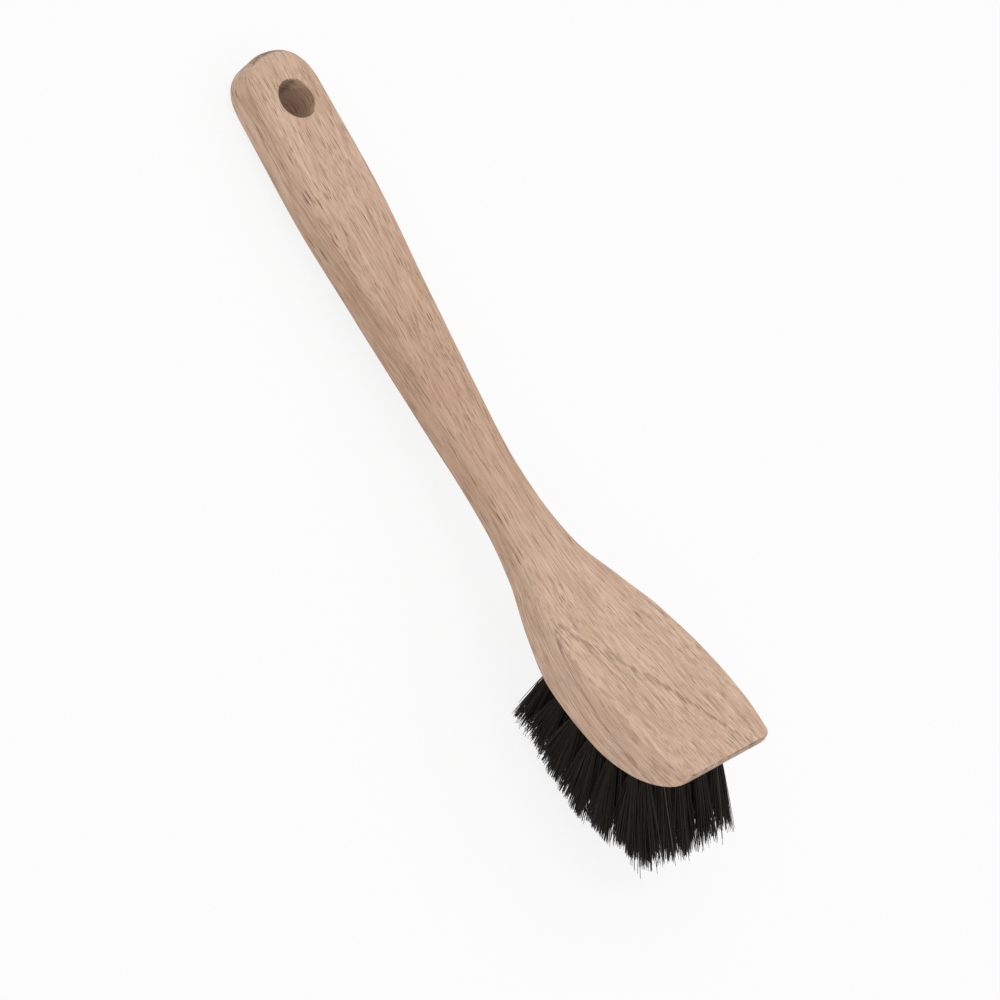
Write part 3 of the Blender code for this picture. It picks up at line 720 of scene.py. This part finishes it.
def growth_rings(tree, run, fibre, place):
    """Shells round the pith, whose dark edge runs out in fingers along the grain: the share of dark wood in
    all of them, and the share of the one ring that shows plainly, broken into dashes by the fibres."""
    grain = grain_frame(tree)
    parts = put(tree, "SeparateXYZ", {0: grain}).outputs
    off_pith = put(tree, "CombineXYZ", {1: parts[1], 2: parts[2]}).outputs[0]
    radius = put(tree, "VectorMath", {0: off_pith}, operation="LENGTH").outputs["Value"]
    drift = product(tree, noise(tree, grain, DRIFT_SIZE), DRIFT_REACH)
    fingers = product(tree, noise(tree, run, FINGER_SIZE, 1.0), FINGER_REACH)
    waved = sums(tree, "ADD", radius, fingers)
    rings = sums(tree, "DIVIDE", sums(tree, "ADD", waved, drift), RING_WIDTH)
    within = sums(tree, "FRACT", rings)
    number = sums(tree, "FLOOR", rings)
    strength = put(tree, "TexWhiteNoise", {"W": number}, noise_dimensions="1D").outputs["Value"]
    late = product(tree, ramp(tree, within, *LATE_RAMP), ramp(tree, within, *LATE_END_RAMP))
    late = product(tree, late, ramp(tree, strength, *RING_STRENGTH_RAMP))
    off_ring = sums(tree, "ABSOLUTE", sums(tree, "SUBTRACT", waved, DARK_RING + FINGER_REACH / 2))
    dashes = product(tree, ramp(tree, fibre, *DASH_RAMP), ramp(tree, place, *DARK_RING_ALONG))
    return late, product(tree, ramp(tree, off_ring, *DARK_RING_EDGE), dashes)


def beech():
    """Growth rings, fibres as streaks of two widths, and rays and pores as spindles of two sizes."""
    material, tree, shader = new_finish("beech")
    run = fibre_run(tree)
    place = put(tree, "SeparateXYZ", {0: run}).outputs[0]
    above = ramp(tree, facing(tree, HEAD_TURN[:, 2]), *FROM_ABOVE)
    fibre = sided(tree, run, above, FIBRE_SIZES)
    late, dark_ring = growth_rings(tree, run, fibre, place)

    colour = blend(tree, ramp(tree, noise(tree, run, PATCH_SIZE), *PATCH_RAMP), BEECH, BEECH_LIGHT)
    colour = blend(tree, ramp(tree, noise(tree, run, BLUSH_SIZE), *BLUSH_RAMP), colour, BEECH_PINK)
    colour = blend(tree, late, colour, BEECH_DARK)
    colour = blend(tree, dark_ring, colour, FLECK)
    colour = blend(tree, ramp(tree, noise(tree, run, STREAK_SIZE), *STREAK_RAMP), colour, BEECH_DARK)
    colour = blend(tree, ramp(tree, fibre, *DARK_FIBRE_RAMP), colour, BEECH_DARK)
    colour = blend(tree, ramp(tree, fibre, *PALE_FIBRE_RAMP), colour, BEECH_PALE)
    crowd = ramp(tree, noise(tree, run, CROWD_SIZE), *CROWD_RAMP)
    crowd = product(tree, crowd, ramp(tree, place, *CROWD_ALONG))
    rays = product(tree, spindles(tree, run, above, RAY_SIZES), crowd)
    colour = blend(tree, rays, colour, FLECK)
    pores = spindles(tree, run, above, PORE_SIZES)
    colour = blend(tree, product(tree, pores, PORE_SHARE), colour, FLECK)
    # Painted shade: the wood between grip and head is darkened where its rounder top lies in shade
    neck_shade = product(tree, ramp(tree, place, *NECK_SHADE_FROM), ramp(tree, place, *NECK_SHADE_TO))
    neck_shade_tint = blend(tree, neck_shade, (1, 1, 1, 1), NECK_PAINTED_SHADE)
    colour = put(tree, "VectorMath", {0: colour, 1: neck_shade_tint}, operation="MULTIPLY").outputs[0]
    # The narrow ends are darkened partly by their end grain and partly by painted shade
    tree.links.new(end_grain_and_shade(tree, colour, fibre), shader.inputs["Base Color"])

    height = sums(tree, "SUBTRACT", product(tree, fibre, FIBRE_RELIEF), rays)
    values = {"Strength": RELIEF_STRENGTH, "Distance": GRAIN_RELIEF, "Height": height}
    tree.links.new(put(tree, "Bump", values).outputs[0], shader.inputs["Normal"])
    tree.links.new(ramp(tree, fibre, *WOOD_ROUGHNESS), shader.inputs["Roughness"])
    return material


def end_grain_and_shade(tree, colour, fibre):
    """Wood cut across its fibres drinks the light, most of all in patches where the rounded edge tore it,
    less on the underside and not at all where it faces the near side. The darkening is partly the end grain's
    own colour and partly painted shade on the narrow ends, the toe's most of all."""
    across = facing(tree, (math.cos(GRAIN_TURN), 0, math.sin(GRAIN_TURN)))
    torn_and_shaded = product(tree, ramp(tree, across, *ACROSS_FIBRES), ramp(tree, across, *SAWN_FLAT))
    normal = put(tree, "SeparateXYZ", {0: put(tree, "NewGeometry").outputs["Normal"]}).outputs
    torn_and_shaded = product(tree, torn_and_shaded, ramp(tree, normal[1], *NEAR_SIDE_RAMP))
    torn_and_shaded = product(tree, torn_and_shaded, ramp(tree, normal[2], *UNDERSIDE_RAMP))
    patches = noise(tree, put(tree, "TexCoord").outputs["Object"], TORN_SIZE)
    torn_and_shaded = product(tree, torn_and_shaded, ramp(tree, patches, *TORN_RAMP))
    return blend(tree, product(tree, torn_and_shaded, ramp(tree, fibre, *TORN_FIBRE_RAMP)), colour, END_GRAIN_AND_SHADE)


# Hair and wire. A ramp over a hair's own shade mixes its colours.
HAIR_BLACK = (0.0095, 0.0064, 0.0036, 1)
HAIR_BROWN = (0.022, 0.0150, 0.0085, 1)
HAIR_GREY = (0.09, 0.072, 0.055, 1)
HAIR_BROWN_RAMP, HAIR_GREY_RAMP = (0.1, 0.95), (0.98, 0.99)
HAIR_SHEEN = 0.25
HAIR_ROUGHNESS = 0.55
WIRE_BRIGHT = (0.72, 0.55, 0.30, 1)
WIRE_DULL = (0.50, 0.37, 0.20, 1)
DULL_SIZE = (0.0015, 0.0015, 0.0015)
DULL_RAMP, DULL_ROUGHNESS = (0.4, 0.7), (0.3, 0.7, 0.28, 0.45)


def horsehair():
    """Near-black brown, each hair with its own shade and a few of them grey."""
    material, tree, shader = new_finish("horsehair", HAIR_ROUGHNESS)
    shader.inputs["Specular IOR Level"].default_value = HAIR_SHEEN
    shade = put(tree, "Attribute", attribute_name="shade").outputs["Fac"]
    colour = blend(tree, ramp(tree, shade, *HAIR_BROWN_RAMP), HAIR_BLACK, HAIR_BROWN)
    colour = blend(tree, ramp(tree, shade, *HAIR_GREY_RAMP), colour, HAIR_GREY)
    tree.links.new(colour, shader.inputs["Base Color"])
    return material


def brass():
    """Drawn wire, dulled in patches."""
    material, tree, shader = new_finish("anchor_wire", metallic=1.0)
    dull = noise(tree, put(tree, "TexCoord").outputs["Object"], DULL_SIZE, 3.0)
    colour = blend(tree, ramp(tree, dull, *DULL_RAMP), WIRE_BRIGHT, WIRE_DULL)
    tree.links.new(colour, shader.inputs["Base Color"])
    tree.links.new(ramp(tree, dull, *DULL_ROUGHNESS), shader.inputs["Roughness"])
    return material


# Camera, table and light
VIEW_AZIMUTH = math.radians(3.944)
VIEW_ELEVATION = math.radians(50.053)
VIEW_ROLL = math.radians(60.313)
VIEW_DISTANCE = 1.1047
VIEW_AIM = (0.01800, -0.01239, 0.03102)
LENS = 141.34
SENSOR = 36
CLIP_END = 20
TABLE_HALF = 3.0
TABLE_TONE = (0.8, 0.8, 0.8, 1)
TABLE_ROUGHNESS = 0.9
TABLE_GLOW = 0.86              # share of its own white that the table shows to the camera
ROOM_GLOW = 0.96               # the room's brightness as light; seen directly it is one
LAMP_SIZE = 1.2
LAMP_POWER = 3.2
LAMP_PLACE = (-0.35, 0.25, 1.5)
LAMP_TURN = (math.radians(-9.5), math.radians(-13), 0)


def camera():
    """Looks at the aim from the azimuth and elevation, rolled about its own axis."""
    a, e, r = VIEW_AZIMUTH, VIEW_ELEVATION, VIEW_ROLL
    back = np.array([math.sin(a) * math.cos(e), -math.cos(a) * math.cos(e), math.sin(e)])
    level = np.array([math.cos(a), math.sin(a), 0])
    upright = np.cross(back, level)
    right = level * math.cos(r) + upright * math.sin(r)
    up = upright * math.cos(r) - level * math.sin(r)
    data = bpy.data.cameras.new("photo_view")
    data.lens, data.sensor_width = LENS, SENSOR
    data.clip_end = CLIP_END
    found = new_object("photo_view", data)
    matrix = np.eye(4)
    matrix[:3, :3] = np.column_stack([right, up, back])
    matrix[:3, 3] = np.array(VIEW_AIM) + back * VIEW_DISTANCE
    found.matrix_world = Matrix(matrix.tolist())
    bpy.context.scene.camera = found


def seen_directly(tree):
    """One for what the camera sees, also in a mirror or through glass, and nought for light that bounces."""
    path = put(tree, "LightPath").outputs
    mirrored = sums(tree, "MAXIMUM", path["Is Glossy Ray"], path["Is Transmission Ray"])
    return sums(tree, "MAXIMUM", path["Is Camera Ray"], mirrored)


def table_top():
    """A wide pale table whose own white glow, seen directly, leaves only the brush's soft shadow."""
    corners = TABLE_HALF * np.array([(-1, -1, 0), (1, -1, 0), (1, 1, 0), (-1, 1, 0)])
    top = new_piece("table_top", corners, [[0, 1, 2, 3]])
    material, tree, shader = new_finish("pale_table", TABLE_ROUGHNESS)
    shader.inputs["Base Color"].default_value = TABLE_TONE
    shader.inputs["Specular IOR Level"].default_value = 0.0
    glow = put(tree, "Emission", {"Color": (1, 1, 1, 1), "Strength": 1.0}).outputs[0]
    share = product(tree, seen_directly(tree), TABLE_GLOW)
    mixed = put(tree, "MixShader", {0: share, 1: shader.outputs[0], 2: glow}).outputs[0]
    tree.links.new(mixed, tree.nodes["Material Output"].inputs["Surface"])
    top.data.materials.append(material)


def light():
    """A white room and one large soft lamp above."""
    world = bpy.data.worlds.new("white_room")
    world.use_nodes = True
    tree = world.node_tree
    tree.nodes["Background"].inputs["Color"].default_value = (1, 1, 1, 1)
    values = {"Value": seen_directly(tree), "To Min": ROOM_GLOW, "To Max": 1.0}
    strength = put(tree, "MapRange", values).outputs[0]
    tree.links.new(strength, tree.nodes["Background"].inputs["Strength"])
    bpy.context.scene.world = world
    data = bpy.data.lights.new("softbox", "AREA")
    data.shape, data.size, data.energy = "SQUARE", LAMP_SIZE, LAMP_POWER
    lamp = new_object("softbox", data)
    lamp.location = LAMP_PLACE
    lamp.rotation_euler = LAMP_TURN
    bpy.context.scene.view_settings.view_transform = "Standard"


def dress(piece, material, slot, *nodes):
    """Gives a finished piece its material and its body, and hides the nodes that it stands for. The slot is
    not used.
    """
    piece.data.materials.clear()
    piece.data.materials.append(material)
    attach(piece, "root")
    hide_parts(*nodes)


camera()
light()
table_top()
dress(wood_body(), beech(), "beech", "handle")
hair_finish = horsehair()
for i, (mouth, axes, spread) in enumerate(zip(MOUTHS, AXES, tip_spreads())):
    seeded = np.random.default_rng(SEED + i)
    tuft = tuft_hair(f"hair_{i + 1:02d}", mouth, axes, spread, seeded)
    dress(tuft, hair_finish, "horsehair", f"tuft_{i + 1:02d}")
wire_finish = brass()
for name, node in frame["nodes"].items():
    if name.startswith("anchor"):
        node.data.materials.clear()
        node.data.materials.append(wire_finish)
